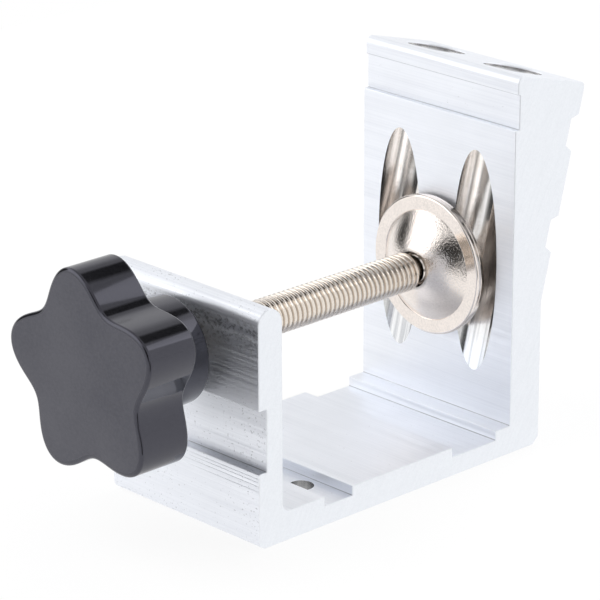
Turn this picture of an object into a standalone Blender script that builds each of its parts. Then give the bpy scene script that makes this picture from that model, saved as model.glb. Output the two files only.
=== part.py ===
"""Pocket-hole drilling jig: an extruded aluminium clamp body with two slanted drill guides,
a clamp screw with a star knob, and a swivel pad that presses the board against the work face.

Metres, +Z up. The origin is on the underside, at the foot of the work face, in the middle of
the width. +Y runs along the clamp screw, from the knob towards the work face.
"""
import math

import bmesh
import bpy
from mathutils import Matrix, Vector

# Extruded body: base and short upright
BODY_WIDTH = 0.042
THROAT = 0.0626
BASE_THICKNESS = 0.006
UPRIGHT_THICKNESS = 0.0061
UPRIGHT_HEIGHT = 0.0476
UPRIGHT_OUTER_ROUND = 0.0027
UPRIGHT_INNER_ROUND = 0.0033
UPRIGHT_FOOT_FILLET = 0.002
FOOT_HEIGHT = 0.0154
FOOT_ROUND = 0.0018
FINGER_RECESS_HEIGHT = 0.0126
FINGER_RECESS_DEPTH = 0.002
SCREW_GROOVE_OFFSET = 0.011
SCREW_GROOVE_WIDTH = 0.0074
SCREW_GROOVE_DEPTH = 0.002
CHIP_GROOVE_OFFSET = 0.0041
CHIP_GROOVE_WIDTH = 0.0125
CHIP_GROOVE_DEPTH = 0.002
BENCH_HOLE_DIAMETER = 0.005
BENCH_HOLE_SPACING = 0.021

# Extruded body: tall fence with the work face and the slanted guide block
FENCE_THICKNESS = 0.0085
HEEL_CHAMFER = 0.0015
BAND_HEIGHT = 0.0071
BAND_DEPTH = 0.0011
LIP_HEIGHT = 0.004
LIP_SETBACK = 0.0006
LIP_ROUND = 0.0014
BLOCK_BACK_ROUND = 0.0012
BLOCK_BACK_WALL = 0.0043
BACK_GROOVES = 2
BACK_GROOVE_START = 0.0065
BACK_GROOVE_PITCH = 0.0206
BACK_GROOVE_WIDTH = 0.0075
BACK_GROOVE_FLARE = 0.001
BACK_GROOVE_DEPTH = 0.002

# Drill guides: bores slanted back from the work face, with a hard sleeve in each
GUIDE_ANGLE = math.radians(15.0)
GUIDE_SPACING = 0.021
GUIDE_BORE_DIAMETER = 0.012
GUIDE_CROSSING_HEIGHT = 0.0384
GUIDE_TOP_REACH = 0.0392
GUIDE_MOUTH_CHAMFER = 0.00035
SLEEVE_DRILL_DIAMETER = 0.0095
SLEEVE_LENGTH = 0.015
SLEEVE_RECESS = 0.0008
SLEEVE_CHAMFER = 0.0003

# Clamp screw
SCREW_HEIGHT = 0.0357
SCREW_DIAMETER = 0.0079
SCREW_END_CHAMFER = 0.0008
NECK_DIAMETER = 0.0058
NECK_LENGTH = 0.001
SPIGOT_DIAMETER = 0.004
SPIGOT_LENGTH = 0.0031

# Star knob and its threaded insert
KNOB_LOBES = 5
KNOB_DIAMETER = 0.042
KNOB_LOBE_DEPTH = 0.0054
KNOB_THICKNESS = 0.012
KNOB_RIM_ROUND = 0.0009
KNOB_CLOCKING = math.radians(27.5)
HUB_DIAMETER = 0.0214
HUB_LENGTH = 0.0107
HUB_DRAFT = 0.0004
HUB_EDGE_ROUND = 0.0006
HUB_REST_GAP = 0.0026
INSERT_DIAMETER = 0.0125
INSERT_LENGTH = 0.0165
INSERT_RECESS = 0.0003
SCREW_REACH_PAST_INSERT = 0.0004

# Swivel pad: a pressed dome with a flat flange, and a face plate let into the flange's turned rim
PAD_DIAMETER = 0.029
PAD_REST_GAP = 0.001
PLATE_SHEET = 0.0006
PLATE_EDGE_SETBACK = 0.0002
PLATE_EDGE_THICKNESS = 0.0009
PLATE_EDGE_ROUND = 0.0003
PLATE_SHOULDER = 0.0004
DOME_SHEET = 0.0007
DOME_BASE_DIAMETER = 0.0226
DOME_RISE = 0.0038
DOME_MOUTH_DIAMETER = 0.0074
DOME_RIM_ROUND = 0.0005
BALL_DIAMETER = 0.0092

# Clearances
PRESS_GAP = 0.0003
RUN_GAP = 0.0003
SHEET_GAP = 0.0002
CUT_MARGIN = 0.002

# Facets
BORE_SIDES = 48
TURN_STEPS = 48
SMALL_TURN_STEPS = 36
ARC_STEP = math.radians(15.0)
LOBE_POINTS = 20
RIM_STEPS = 3
MERGE_DISTANCE = 1e-5
SMOOTH_ANGLE = math.radians(35.0)

# Places worked out from the sizes
INNER_FACE = -THROAT
OUTER_FACE = INNER_FACE - UPRIGHT_THICKNESS
HUB_END = OUTER_FACE - HUB_REST_GAP
KNOB_BACK = HUB_END - HUB_LENGTH
KNOB_FRONT = KNOB_BACK - KNOB_THICKNESS
PAD_FACE = -PAD_REST_GAP
PLATE_POCKET_FLOOR = PAD_FACE - PLATE_SHEET
PLATE_EDGE_BACK = PAD_FACE - PLATE_EDGE_THICKNESS
PLATE_BACK = PLATE_EDGE_BACK - PLATE_SHOULDER
DOME_RIM_END = PLATE_EDGE_BACK - SHEET_GAP
DOME_RIM_INNER = PAD_DIAMETER / 2 - DOME_SHEET
DOME_FOOT = PLATE_BACK - SHEET_GAP
DOME_FLANGE_TOP = DOME_FOOT - DOME_SHEET
DOME_MOUTH = DOME_FLANGE_TOP - DOME_RISE
BALL_SEAT_REACH = math.sqrt((BALL_DIAMETER / 2 + RUN_GAP) ** 2 - (DOME_MOUTH_DIAMETER / 2) ** 2)
BALL_CENTRE = DOME_MOUTH + DOME_SHEET + BALL_SEAT_REACH
BALL_FLAT = PLATE_POCKET_FLOOR - RUN_GAP
BALL_COLLAR = BALL_CENTRE - math.sqrt((BALL_DIAMETER / 2) ** 2 - (NECK_DIAMETER / 2) ** 2)
NECK_END = BALL_COLLAR - PRESS_GAP
THREAD_END = NECK_END - NECK_LENGTH
INSERT_END = HUB_END - INSERT_RECESS
INSERT_BOTTOM = INSERT_END - INSERT_LENGTH
SCREW_BOTTOM = INSERT_BOTTOM - SCREW_REACH_PAST_INSERT


def clear_scene():
    """Remove every object of the scene."""
    for obj in list(bpy.data.objects):
        bpy.data.objects.remove(obj, do_unlink=True)


def new_collection(name):
    """Make a collection under the scene's own."""
    collection = bpy.data.collections.new(name)
    bpy.context.scene.collection.children.link(collection)
    return collection


def new_material(name, colour, metallic, roughness):
    """Make a Principled material of one colour."""
    material = bpy.data.materials.new(name)
    material.use_nodes = True
    shader = material.node_tree.nodes["Principled BSDF"]
    shader.inputs["Base Color"].default_value = (*colour, 1.0)
    shader.inputs["Metallic"].default_value = metallic
    shader.inputs["Roughness"].default_value = roughness
    return material


def new_empty(name, location, rotation, collection):
    """Make an empty that carries the pieces turned about its own Z axis."""
    empty = bpy.data.objects.new(name, None)
    empty.empty_display_size = BODY_WIDTH / 4
    empty.location = location
    empty.rotation_euler = rotation
    collection.objects.link(empty)
    return empty


def new_object(name, mesh, collection, material=None, parent=None):
    """Wrap a mesh in a named object, in a collection and under a parent."""
    obj = bpy.data.objects.new(name, mesh)
    collection.objects.link(obj)
    obj.parent = parent
    if material:
        mesh.materials.append(material)
    return obj


def shade_round(mesh):
    """Shade a mesh smooth, apart from its sharp edges."""
    mesh.shade_smooth()
    mesh.set_sharp_from_angle(angle=SMOOTH_ANGLE)


def arc(centre, radius, start, end):
    """Points along an arc about a centre, both ends included."""
    steps = max(2, math.ceil(abs(end - start) / ARC_STEP))
    angles = [start + (end - start) * i / steps for i in range(steps + 1)]
    return [(centre[0] + radius * math.cos(a), centre[1] + radius * math.sin(a)) for a in angles]


def rounded_outline(corners):
    """Turn corners (across, up, radius) into an outline with tangent arcs at the rounded ones."""
    points = []
    for i, (across, up, radius) in enumerate(corners):
        here = Vector((across, up))
        if radius == 0:
            points.append((across, up))
            continue
        before = (Vector(corners[i - 1][:2]) - here).normalized()
        after = (Vector(corners[(i + 1) % len(corners)][:2]) - here).normalized()
        half = before.angle(after) / 2
        first = here + before * (radius / math.tan(half))
        centre = here + (before + after).normalized() * (radius / math.sin(half))
        start = math.atan2(*(first - centre).yx)
        sweep = math.pi - 2 * half
        turn = 1 if before.cross(after) < 0 else -1
        points += arc(centre, radius, start, start + turn * sweep)
    return points


def filled_curve(name, outline, depth, rim=0.0):
    """Make a closed 2D curve filled on both sides, extruded by a depth, with an optional round rim."""
    curve = bpy.data.curves.new(name, "CURVE")
    curve.dimensions = "2D"
    curve.fill_mode = "BOTH"
    curve.extrude = depth / 2 - rim
    curve.bevel_depth = rim
    curve.bevel_resolution = RIM_STEPS
    curve.offset = -rim
    spline = curve.splines.new("POLY")
    spline.points.add(len(outline) - 1)
    for point, (x, y) in zip(spline.points, outline):
        point.co = (x, y, 0, 1)
    spline.use_cyclic_u = True
    return curve


def mesh_from_curve(curve, name):
    """Evaluate a curve, weld its caps and return it as a mesh."""
    holder = bpy.data.objects.new(name, curve)
    bpy.context.scene.collection.objects.link(holder)
    graph = bpy.context.evaluated_depsgraph_get()
    mesh = bpy.data.meshes.new_from_object(holder.evaluated_get(graph))
    mesh.name = name
    bpy.data.objects.remove(holder, do_unlink=True)
    bm = bmesh.new()
    bm.from_mesh(mesh)
    bmesh.ops.remove_doubles(bm, verts=bm.verts, dist=MERGE_DISTANCE)
    bmesh.ops.recalc_face_normals(bm, faces=bm.faces)
    bm.to_mesh(mesh)
    bm.free()
    return mesh


def turned(name, profile, collection, material, parent, closed=False, steps=TURN_STEPS):
    """Turn a profile (radius, along) about the parent's Z axis. It runs down its outer side."""
    mesh = bpy.data.meshes.new(name)
    verts = [(radius, 0, along) for radius, along in profile]
    edges = [(i, i + 1) for i in range(len(verts) - 1)]
    if closed:
        edges.append((len(verts) - 1, 0))
    mesh.from_pydata(verts, edges, [])
    obj = new_object(name, mesh, collection, material, parent)
    screw = obj.modifiers.new("Turn", "SCREW")
    screw.axis = "Z"
    screw.steps = steps
    screw.render_steps = steps
    screw.use_merge_vertices = True
    screw.merge_threshold = MERGE_DISTANCE
    screw.use_smooth_shade = True
    return obj


def cylinder_cutter(name, diameter, length, place, collection, end_diameter=None):
    """Make a cylinder or cone, centred on its own Z axis, that only cuts."""
    bm = bmesh.new()
    end = diameter if end_diameter is None else end_diameter
    bmesh.ops.create_cone(bm, cap_ends=True, segments=BORE_SIDES, radius1=diameter / 2,
                          radius2=end / 2, depth=length)
    mesh = bpy.data.meshes.new(name)
    bm.to_mesh(mesh)
    bm.free()
    cutter = new_object(name, mesh, collection)
    cutter.matrix_world = place
    cutter.hide_render = True
    cutter.display_type = "WIRE"
    return cutter


def boolean(obj, other, operation):
    """Add an exact Boolean to an object."""
    modifier = obj.modifiers.new(other.name, "BOOLEAN")
    modifier.object = other
    modifier.operation = operation
    modifier.solver = "EXACT"


def guide_point(along, behind):
    """The (Y, Z) of a point along a guide's axis, up from the work face, and behind that axis."""
    across = along * math.sin(GUIDE_ANGLE) + behind * math.cos(GUIDE_ANGLE)
    up = GUIDE_CROSSING_HEIGHT + along * math.cos(GUIDE_ANGLE) - behind * math.sin(GUIDE_ANGLE)
    return across, up


def body_corners():
    """Corners (Y, Z, radius) of the extrusion's section, from the foot round to the heel."""
    recess_top = FOOT_HEIGHT + FINGER_RECESS_HEIGHT
    recess_face = OUTER_FACE + FINGER_RECESS_DEPTH
    screw_groove = INNER_FACE + SCREW_GROOVE_OFFSET
    chip_groove = -CHIP_GROOVE_OFFSET - CHIP_GROOVE_WIDTH
    corners = [
        (OUTER_FACE, 0, FOOT_ROUND),
        (OUTER_FACE, FOOT_HEIGHT, 0),
        (recess_face, FOOT_HEIGHT, 0),
        (recess_face, recess_top, 0),
        (OUTER_FACE, recess_top, 0),
        (OUTER_FACE, UPRIGHT_HEIGHT, UPRIGHT_OUTER_ROUND),
        (INNER_FACE, UPRIGHT_HEIGHT, UPRIGHT_INNER_ROUND),
        (INNER_FACE, BASE_THICKNESS, UPRIGHT_FOOT_FILLET),
    ]
    for start, width, depth in ((screw_groove, SCREW_GROOVE_WIDTH, SCREW_GROOVE_DEPTH),
                                (chip_groove, CHIP_GROOVE_WIDTH, CHIP_GROOVE_DEPTH)):
        corners += [
            (start, BASE_THICKNESS, 0),
            (start, BASE_THICKNESS - depth, 0),
            (start + width, BASE_THICKNESS - depth, 0),
            (start + width, BASE_THICKNESS, 0),
        ]
    return corners + fence_corners()


def fence_corners():
    """Corners of the tall fence: work face, band, lip, slanted top and back, heel."""
    back = GUIDE_BORE_DIAMETER / 2 + BLOCK_BACK_WALL
    lip_reach = GUIDE_TOP_REACH - LIP_SETBACK * math.sin(GUIDE_ANGLE)
    lip_top = GUIDE_CROSSING_HEIGHT + lip_reach / math.cos(GUIDE_ANGLE)
    lip_bottom = lip_top - LIP_HEIGHT
    work_face_top = lip_bottom - BAND_HEIGHT
    corners = [
        (0, BASE_THICKNESS, 0),
        (0, work_face_top, 0),
        (BAND_DEPTH, work_face_top, 0),
        (BAND_DEPTH, lip_bottom, 0),
        (LIP_SETBACK, lip_bottom, 0),
        (LIP_SETBACK, lip_top, LIP_ROUND),
        (*guide_point(GUIDE_TOP_REACH, back), BLOCK_BACK_ROUND),
    ]
    for i in range(BACK_GROOVES):
        top = GUIDE_TOP_REACH - BACK_GROOVE_START - i * BACK_GROOVE_PITCH
        bottom = top - BACK_GROOVE_WIDTH
        floor = back - BACK_GROOVE_DEPTH
        corners += [
            (*guide_point(top, back), 0),
            (*guide_point(top - BACK_GROOVE_FLARE, floor), 0),
            (*guide_point(bottom + BACK_GROOVE_FLARE, floor), 0),
            (*guide_point(bottom, back), 0),
        ]
    bend = (FENCE_THICKNESS - back * math.cos(GUIDE_ANGLE)) / math.sin(GUIDE_ANGLE)
    bend_height = guide_point(bend, back)[1]
    return corners + [
        (FENCE_THICKNESS, bend_height, 0),
        (FENCE_THICKNESS, HEEL_CHAMFER, 0),
        (FENCE_THICKNESS - HEEL_CHAMFER, 0, 0),
    ]


def make_body(parts, cutters, material):
    """Saw the extrusion to its width and bore it."""
    outline = rounded_outline(body_corners())
    mesh = mesh_from_curve(filled_curve("section", outline, BODY_WIDTH), "jig_body")
    section_to_world = Matrix(((0, 0, 1), (1, 0, 0), (0, 1, 0))).to_4x4()
    body = new_object("jig_body", mesh, parts, material)
    body.matrix_world = section_to_world
    for side, name in ((-1, "left"), (1, "right")):
        boolean(body, bore_cutter(side, name, cutters), "DIFFERENCE")
        boolean(body, mouth_cutter(side, name, cutters), "DIFFERENCE")
        boolean(body, bench_hole_cutter(side, name, cutters), "DIFFERENCE")
    boolean(body, screw_hole_cutter(cutters), "DIFFERENCE")
    return body


def guide_place(side, along):
    """Matrix of a point on a guide's axis, with Z up along the guide."""
    across, up = guide_point(along, 0)
    tilt = Matrix.Rotation(-GUIDE_ANGLE, 4, "X")
    return Matrix.Translation((side * GUIDE_SPACING / 2, across, up)) @ tilt


def bore_cutter(side, name, cutters):
    """The drill's own path: it enters at the top and breaks out through the work face."""
    top = GUIDE_TOP_REACH + CUT_MARGIN
    bottom = -GUIDE_BORE_DIAMETER / 2 / math.tan(GUIDE_ANGLE) - CUT_MARGIN / 2
    place = guide_place(side, (top + bottom) / 2)
    return cylinder_cutter("bore_" + name, GUIDE_BORE_DIAMETER, top - bottom, place, cutters)


def mouth_cutter(side, name, cutters):
    """The chamfer at a bore's upper mouth: a right-angled cone that starts inside the bore."""
    middle = GUIDE_TOP_REACH - GUIDE_MOUTH_CHAMFER
    narrow = GUIDE_BORE_DIAMETER - 2 * CUT_MARGIN
    wide = GUIDE_BORE_DIAMETER + 2 * CUT_MARGIN
    place = guide_place(side, middle)
    return cylinder_cutter("mouth_" + name, narrow, 2 * CUT_MARGIN, place, cutters, wide)


def bench_hole_cutter(side, name, cutters):
    """A plain hole in the floor of the groove beside the upright, to screw the jig down."""
    across = INNER_FACE + SCREW_GROOVE_OFFSET + SCREW_GROOVE_WIDTH / 2
    length = BASE_THICKNESS + 2 * CUT_MARGIN
    place = Matrix.Translation((side * BENCH_HOLE_SPACING / 2, across, BASE_THICKNESS / 2))
    return cylinder_cutter("bench_hole_" + name, BENCH_HOLE_DIAMETER, length, place, cutters)


def screw_hole_cutter(cutters):
    """The hole in the upright that the clamp screw runs in."""
    length = UPRIGHT_THICKNESS + 2 * CUT_MARGIN
    middle = (INNER_FACE + OUTER_FACE) / 2
    turn = Matrix.Rotation(-math.pi / 2, 4, "X")
    place = Matrix.Translation((0, middle, SCREW_HEIGHT)) @ turn
    return cylinder_cutter("screw_hole", SCREW_DIAMETER + 2 * RUN_GAP, length, place, cutters)


def make_sleeves(parts, material):
    """Press a hard sleeve into the closed upper end of each bore."""
    outer = GUIDE_BORE_DIAMETER / 2 - PRESS_GAP
    inner = SLEEVE_DRILL_DIAMETER / 2
    cut = SLEEVE_CHAMFER
    profile = [
        (inner + cut, 0),
        (outer - cut, 0),
        (outer, -cut),
        (outer, -SLEEVE_LENGTH + cut),
        (outer - cut, -SLEEVE_LENGTH),
        (inner + cut, -SLEEVE_LENGTH),
        (inner, -SLEEVE_LENGTH + cut),
        (inner, -cut),
    ]
    for side, name in ((-1, "left"), (1, "right")):
        place = guide_place(side, GUIDE_TOP_REACH - SLEEVE_RECESS)
        seat = new_empty("guide_seat_" + name, place.translation, place.to_euler(), parts)
        turned("guide_sleeve_" + name, profile, parts, material, seat, closed=True)


def make_screw(parts, material, axis):
    """Turn the clamp screw: threaded length, neck and the spigot that carries the ball."""
    radius = SCREW_DIAMETER / 2
    neck = NECK_DIAMETER / 2
    spigot = SPIGOT_DIAMETER / 2
    spigot_end = NECK_END + PRESS_GAP + SPIGOT_LENGTH
    profile = [
        (0, spigot_end),
        (spigot, spigot_end),
        (spigot, NECK_END),
        (neck, NECK_END),
        (neck, THREAD_END),
        (radius, THREAD_END - (radius - neck)),
        (radius, SCREW_BOTTOM + SCREW_END_CHAMFER),
        (radius - SCREW_END_CHAMFER, SCREW_BOTTOM),
        (0, SCREW_BOTTOM),
    ]
    return turned("clamp_screw", profile, parts, material, axis, steps=SMALL_TURN_STEPS)


def make_ball(parts, material, axis):
    """Turn the swivel ball: flat on the pad's side, bored for the screw's spigot."""
    radius = BALL_DIAMETER / 2
    bore = SPIGOT_DIAMETER / 2 + PRESS_GAP
    bore_bottom = NECK_END + SPIGOT_LENGTH + 2 * PRESS_GAP
    start = math.asin((BALL_FLAT - BALL_CENTRE) / radius)
    end = math.asin((BALL_COLLAR - BALL_CENTRE) / radius)
    flank = arc((0, BALL_CENTRE), radius, start, end)
    profile = [(0, BALL_FLAT), *flank, (bore, BALL_COLLAR), (bore, bore_bottom), (0, bore_bottom)]
    return turned("swivel_ball", profile, parts, material, axis, steps=SMALL_TURN_STEPS)


def dome_curve():
    """Centre and radius of the dome's outer sphere, through its base and its mouth."""
    base = DOME_BASE_DIAMETER / 2
    mouth = DOME_MOUTH_DIAMETER / 2
    depth = (base ** 2 - mouth ** 2 - DOME_RISE ** 2) / (2 * DOME_RISE)
    return DOME_FLANGE_TOP + depth, math.hypot(base, depth)


def dome_arc(centre, radius, from_radius, to_radius):
    """Points of the dome's sphere between two distances from the axis."""
    start = -math.acos(from_radius / radius)
    end = -math.acos(to_radius / radius)
    return arc((0, centre), radius, start, end)


def make_dome(parts, material, pivot):
    """Press the dome: a mouth that holds the ball, and a flat flange with its rim turned over."""
    centre, outer = dome_curve()
    inner = outer - DOME_SHEET
    flange = PAD_DIAMETER / 2
    round_off = DOME_RIM_ROUND
    mouth = DOME_MOUTH_DIAMETER / 2
    inner_base = math.sqrt(inner ** 2 - (centre - DOME_FOOT) ** 2)
    inside = dome_arc(centre, inner, mouth, inner_base)
    rim = arc((flange - round_off, DOME_FLANGE_TOP + round_off), round_off, 0, -math.pi / 2)
    outside = dome_arc(centre, outer, DOME_BASE_DIAMETER / 2, mouth)
    profile = [
        *inside,
        (DOME_RIM_INNER, DOME_FOOT),
        (DOME_RIM_INNER, DOME_RIM_END),
        (flange, DOME_RIM_END),
        *rim,
        *outside,
    ]
    return turned("pad_dome", in_frame(profile, BALL_CENTRE), parts, material, pivot, closed=True)


def make_plate(parts, material, pivot):
    """Press the pad's face plate: its middle stands up inside the dome's rim, with a ball pocket."""
    radius = PAD_DIAMETER / 2 - PLATE_EDGE_SETBACK
    shoulder = DOME_RIM_INNER - SHEET_GAP
    pocket = BALL_DIAMETER / 2 + RUN_GAP
    round_off = PLATE_EDGE_ROUND
    edge = arc((radius - round_off, PAD_FACE - round_off), round_off, math.pi / 2, 0)
    profile = [
        (0, PAD_FACE),
        *edge,
        (radius, PLATE_EDGE_BACK),
        (shoulder, PLATE_EDGE_BACK),
        (shoulder, PLATE_BACK),
        (pocket, PLATE_BACK),
        (pocket, PLATE_POCKET_FLOOR),
        (0, PLATE_POCKET_FLOOR),
    ]
    return turned("pad_plate", in_frame(profile, BALL_CENTRE), parts, material, pivot)


def in_frame(profile, along):
    """Shift a profile into the frame of an empty that stands at a place along the screw."""
    return [(radius, place - along) for radius, place in profile]


def knob_outline():
    """Five even lobes: the radius swings once round each lobe."""
    middle = KNOB_DIAMETER / 2 - KNOB_LOBE_DEPTH / 2
    swing = KNOB_LOBE_DEPTH / 2
    points = []
    for i in range(KNOB_LOBES * LOBE_POINTS):
        angle = math.tau * i / (KNOB_LOBES * LOBE_POINTS)
        radius = middle + swing * math.cos(KNOB_LOBES * (angle + KNOB_CLOCKING))
        points.append((radius * math.cos(angle), radius * math.sin(angle)))
    return points


def make_knob(parts, cutters, material, axis):
    """Mould the star knob: lobed head with round rims, hub, and a blind seat for the insert."""
    curve = filled_curve("star", knob_outline(), KNOB_THICKNESS, KNOB_RIM_ROUND)
    mesh = mesh_from_curve(curve, "star_knob")
    mesh.transform(Matrix.Translation((0, 0, (KNOB_FRONT + KNOB_BACK) / 2)))
    knob = new_object("star_knob", mesh, parts, material, axis)
    boolean(knob, hub(cutters, axis), "UNION")
    boolean(knob, insert_seat(cutters, axis), "DIFFERENCE")
    return knob


def hub(cutters, axis):
    """The hub behind the star, with a little draft towards its end."""
    end = HUB_DIAMETER / 2
    root = end + HUB_DRAFT
    middle = (KNOB_FRONT + KNOB_BACK) / 2
    edge = arc((end - HUB_EDGE_ROUND, HUB_END - HUB_EDGE_ROUND), HUB_EDGE_ROUND, math.pi / 2, 0)
    profile = [(0, HUB_END), *edge, (root, KNOB_BACK), (root, middle), (0, middle)]
    piece = turned("hub", profile, cutters, None, axis)
    piece.hide_render = True
    piece.display_type = "WIRE"
    return piece


def insert_seat(cutters, axis):
    """The blind hole in the hub: the insert's seat, and room for the screw's end past it."""
    wide = INSERT_DIAMETER / 2 + PRESS_GAP
    narrow = SCREW_DIAMETER / 2 + PRESS_GAP
    profile = [
        (0, HUB_END + CUT_MARGIN),
        (wide, HUB_END + CUT_MARGIN),
        (wide, INSERT_BOTTOM - PRESS_GAP),
        (narrow, INSERT_BOTTOM - PRESS_GAP),
        (narrow, SCREW_BOTTOM - PRESS_GAP),
        (0, SCREW_BOTTOM - PRESS_GAP),
    ]
    piece = turned("insert_seat", profile, cutters, None, axis)
    piece.hide_render = True
    piece.display_type = "WIRE"
    return piece


def make_insert(parts, material, axis):
    """Turn the metal insert that the knob is moulded round."""
    outer = INSERT_DIAMETER / 2
    inner = SCREW_DIAMETER / 2 + PRESS_GAP
    profile = [(inner, INSERT_END), (outer, INSERT_END), (outer, INSERT_BOTTOM), (inner, INSERT_BOTTOM)]
    return turned("knob_insert", profile, parts, material, axis, closed=True, steps=SMALL_TURN_STEPS)


def main():
    """Build the jig at rest, with the pad run up to the work face."""
    clear_scene()
    parts = new_collection("pocket_hole_jig")
    cutters = new_collection("cutters")
    aluminium = new_material("extruded_aluminium", (0.86, 0.87, 0.89), 1.0, 0.34)
    hard_steel = new_material("hardened_steel", (0.66, 0.66, 0.67), 1.0, 0.2)
    nickel = new_material("nickel_plate", (0.78, 0.73, 0.66), 1.0, 0.22)
    zinc = new_material("zinc_plate", (0.66, 0.67, 0.69), 1.0, 0.32)
    black = new_material("black_plastic", (0.02, 0.02, 0.023), 0.0, 0.22)
    along_screw = (-math.pi / 2, 0, 0)
    axis = new_empty("screw_axis", (0, 0, SCREW_HEIGHT), along_screw, parts)
    pivot = new_empty("pad_pivot", (0, BALL_CENTRE, SCREW_HEIGHT), along_screw, parts)
    body = make_body(parts, cutters, aluminium)
    shade_round(body.data)
    make_sleeves(parts, hard_steel)
    make_screw(parts, nickel, axis)
    make_ball(parts, nickel, axis)
    make_dome(parts, nickel, pivot)
    make_plate(parts, nickel, pivot)
    knob = make_knob(parts, cutters, black, axis)
    shade_round(knob.data)
    make_insert(parts, zinc, axis)


main()
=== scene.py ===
"""Dress the packed pocket-hole jig: extruded body, guide sleeves, clamp screw, swivel pad and star knob.

Metres, in the frame of the packed model: the origin is on the underside, at the foot of the work
face, +Y runs along the clamp screw towards the work face, and Z is up.
"""
import math

import bmesh
import bpy
from bpy.props import FloatProperty, FloatVectorProperty, IntProperty, PointerProperty
from mathutils import Matrix, Vector


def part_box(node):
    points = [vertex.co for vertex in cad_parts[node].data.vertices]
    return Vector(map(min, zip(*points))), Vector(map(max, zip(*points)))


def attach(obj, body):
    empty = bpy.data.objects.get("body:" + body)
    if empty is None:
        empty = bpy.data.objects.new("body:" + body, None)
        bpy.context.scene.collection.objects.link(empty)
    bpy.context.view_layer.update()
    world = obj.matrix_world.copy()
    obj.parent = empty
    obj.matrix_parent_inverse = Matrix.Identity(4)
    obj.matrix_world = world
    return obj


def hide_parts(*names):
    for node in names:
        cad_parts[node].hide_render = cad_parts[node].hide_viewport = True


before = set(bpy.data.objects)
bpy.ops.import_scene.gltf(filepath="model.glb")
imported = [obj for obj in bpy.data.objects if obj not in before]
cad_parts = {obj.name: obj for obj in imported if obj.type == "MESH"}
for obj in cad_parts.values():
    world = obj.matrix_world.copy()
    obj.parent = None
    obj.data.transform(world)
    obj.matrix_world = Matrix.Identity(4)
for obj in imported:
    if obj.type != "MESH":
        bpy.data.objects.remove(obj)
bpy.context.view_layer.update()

bl_info = {
    "name": "Pocket-hole jig",
    "version": (1, 0, 0),
    "blender": (4, 5, 0),
    "location": "View3D > Sidebar > Jig",
    "description": "Builds the visible pieces of a pocket-hole jig round its packed solids",
    "category": "Object",
}

BODY_LOW, BODY_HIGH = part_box("jig_body")
SCREW_LOW, SCREW_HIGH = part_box("clamp_screw")
KNOB_LOW, KNOB_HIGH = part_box("star_knob")
INSERT_LOW, INSERT_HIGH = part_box("knob_insert")
PLATE_LOW, PLATE_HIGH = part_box("pad_plate")
DOME_LOW, DOME_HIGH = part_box("pad_dome")
BALL_LOW, BALL_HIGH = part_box("swivel_ball")
INSERT_RADIUS = (INSERT_HIGH.x - INSERT_LOW.x) / 2
PLATE_RADIUS = (PLATE_HIGH.x - PLATE_LOW.x) / 2
DOME_RADIUS = (DOME_HIGH.x - DOME_LOW.x) / 2
BALL_RADIUS = (BALL_HIGH.x - BALL_LOW.x) / 2
SCREW_AXIS_HEIGHT = (PLATE_LOW.z + PLATE_HIGH.z) / 2

# Fineness of the meshes
ARC_STEP = math.radians(7.5)
TURN_STEPS = 128
SCREW_STEPS = 64
LOBE_STEPS = 48
RIM_STEPS = 8
FILLET_STEPS = 6
WELD = 1e-6
SHARP_ANGLE = math.radians(28.0)

# Play between two pieces, the smallest chamfer, and how far a drill runs past what it cuts
FIT_GAP = 0.0003
FINE_CUT = 0.0001
OVERRUN = 0.002

# Lines drawn into the section: below the foot's top, above the bench groove's floor, and beside that groove
FOOT_LINES = (0.0035, 0.0024, 0.0016, 0.0009)
GROOVE_LINES = (0.0005, 0.0009, 0.0014)
LAND_LINES = (0.0008, 0.0017)

# Half the width of such a line, as a multiple of its depth
LINE_SPREAD = 1.4

# Grooves in the fence's back: how far down from the top face, how wide, and how wide each slanted wall is
BACK_GROOVES = (0.0065, 0.0271)
BACK_GROOVE_WIDTH = 0.0075
BACK_GROOVE_WALL = 0.001

# Shares of a turn, from the middle of the thread's crest: a point on the crest, its end, the root's start
CREST_POINT = 0.14
CREST_END = 0.27
ROOT_START = 0.45

# Rings of the knob's crowned front face, as shares of its outline
FACE_RINGS = (0.12, 0.3, 0.5, 0.68, 0.82, 0.92, 0.97, 1.0)

# Finishes of the body and of the knob, in the order of their slots
DRAWN, SAWN, REAMED = range(3)
POLISHED, SATIN = range(2)

# Sockets of a Mix node that hold its two colours and their mixture
FIRST_COLOUR, SECOND_COLOUR, MIXED_COLOUR = 6, 7, 2
WHITE = (1.0, 1.0, 1.0, 1.0)
AHEAD = (0, 1, 0)
UP = (0, 0, 1)

# Outline of the floor, cut off in front of the jig, its gap under the jig, and the share of plain white in it
FLOOR_CORNERS = ((-0.3, -0.7), (-0.02, -0.2), (0.14, -0.06), (0.7, 0.4), (0.7, 0.7), (-0.3, 0.7))
FLOOR_GAP = 0.0002
FLOOR_GLOW = 0.88

# Light of the room on matte faces. In bright metal it dims overhead: from which slopes, and to what share
ROOM_LIGHT = 0.7
CEILING_SLOPES = (0.56, 0.7)
CEILING_LIGHT = 0.6

# Soft patches of the room that bright metal mirrors: direction, edge, inside, gain in light
ROOM_PATCHES = (
    ((-0.60, -0.68, 0.42), 0.84, 0.95, 0.85),
    ((-0.72, 0.10, 0.68), 0.90, 0.97, 0.5),
    ((-0.93, -0.33, 0.13), 0.94, 0.978, -0.95),
    ((-0.01, 0.62, 0.785), 0.965, 0.988, -0.97),
    ((0.25, -0.94, 0.20), 0.90, 0.965, -0.97),
    ((-0.04, -0.63, 0.77), 0.98, 0.993, -0.85),
    ((0.68, -0.68, -0.27), 0.945, 0.98, -0.9),
)

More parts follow.
